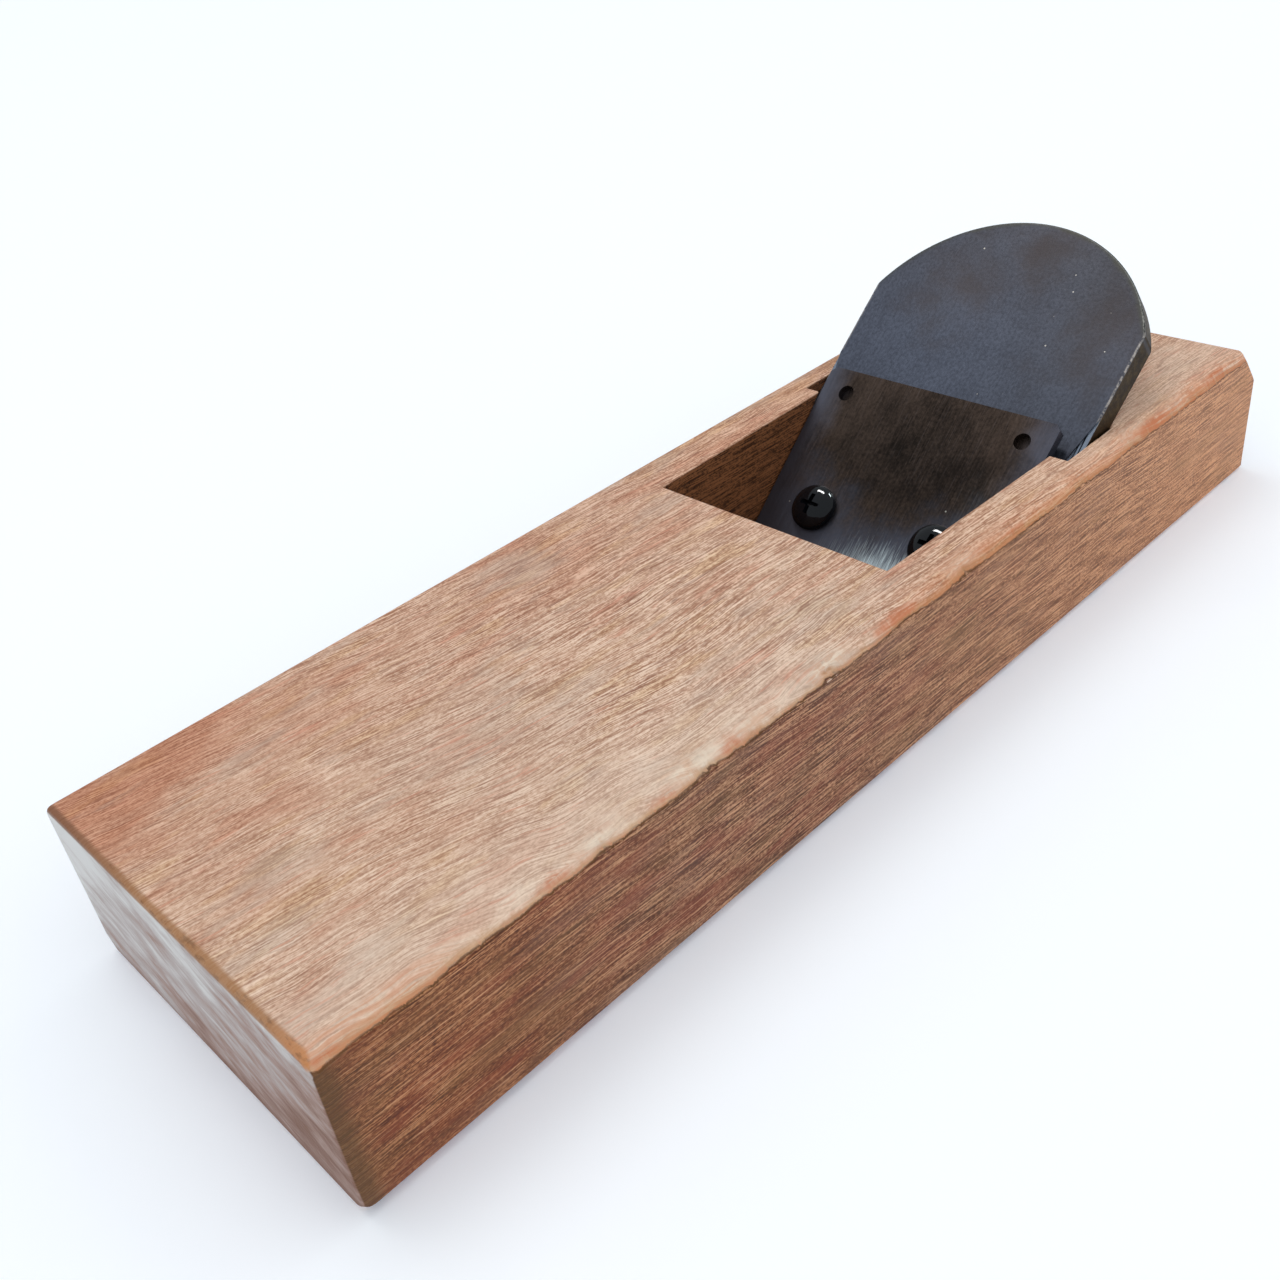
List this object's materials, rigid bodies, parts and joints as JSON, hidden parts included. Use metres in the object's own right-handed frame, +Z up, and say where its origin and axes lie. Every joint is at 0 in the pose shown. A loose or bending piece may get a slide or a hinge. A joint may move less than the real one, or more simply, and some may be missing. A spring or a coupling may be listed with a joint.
{
  "type": "wooden hand plane",
  "caption": "Low wooden pull plane: a long block with an open slanted throat, and in it a round-headed steel iron with a clamped cutting strip and chipbreaker.",
  "frame": {"origin": "middle of the sole, under the middle of the block", "axes": "+X along the block toward the end that leads the cut, +Z up from the sole, +Y to the right side of the picture's near end view"},
  "size_m": [0.265, 0.08, 0.0637],
  "materials": {
    "oak": "planed oak, oiled by the hand, worn pale and rough along one long top edge",
    "dark_steel": "ground flat, then dark with age and brown patina",
    "plate_steel": "ground flat, brown patina, brighter toward its edge",
    "bare_steel": "bare ground steel",
    "black_screw": "glossy black oxide"
  },
  "bodies": {
    "block": {"wooden_block": "oak"},
    "iron": {"iron": "dark_steel", "locating_pin_left": "bare_steel", "locating_pin_right": "bare_steel"},
    "chipbreaker": {"chipbreaker": "plate_steel"},
    "cutting_blade": {"cutting_blade": "bare_steel"},
    "screw_left": {"screw_left": "black_screw"},
    "screw_right": {"screw_right": "black_screw"}
  },
  "joints": [
    {"name": "iron_slide", "type": "slide", "parent": "block", "child": "iron", "axis": [-0.8024, 0, 0.5968], "range_m": [-0.0005, 0.06]},
    {"name": "chipbreaker_lift", "type": "slide", "parent": "iron", "child": "chipbreaker", "axis": [0.6481, 0, 0.7615], "range_m": [0, 0.0016]},
    {"name": "cutting_blade_lift", "type": "slide", "parent": "iron", "child": "cutting_blade", "axis": [0.6129, 0, 0.7902], "range_m": [0, 0.0011]},
    {"name": "screw_left_turn", "type": "hinge", "parent": "chipbreaker", "child": "screw_left", "pos_m": [-0.03676, -0.016, 0.01677], "axis": [0.6481, 0, 0.7615], "range_deg": [0, 720]},
    {"name": "screw_right_turn", "type": "hinge", "parent": "chipbreaker", "child": "screw_right", "pos_m": [-0.03676, 0.016, 0.01677], "axis": [0.6481, 0, 0.7615], "range_deg": [0, 720]}
  ],
  "couplings": [
    {"joint": "screw_left_turn", "follows": "chipbreaker_lift", "rad_per_m": 7853.9},
    {"joint": "screw_right_turn", "follows": "chipbreaker_lift", "rad_per_m": 7853.9},
    {"joint": "cutting_blade_lift", "follows": "chipbreaker_lift", "ratio": 0.6875}
  ]
}
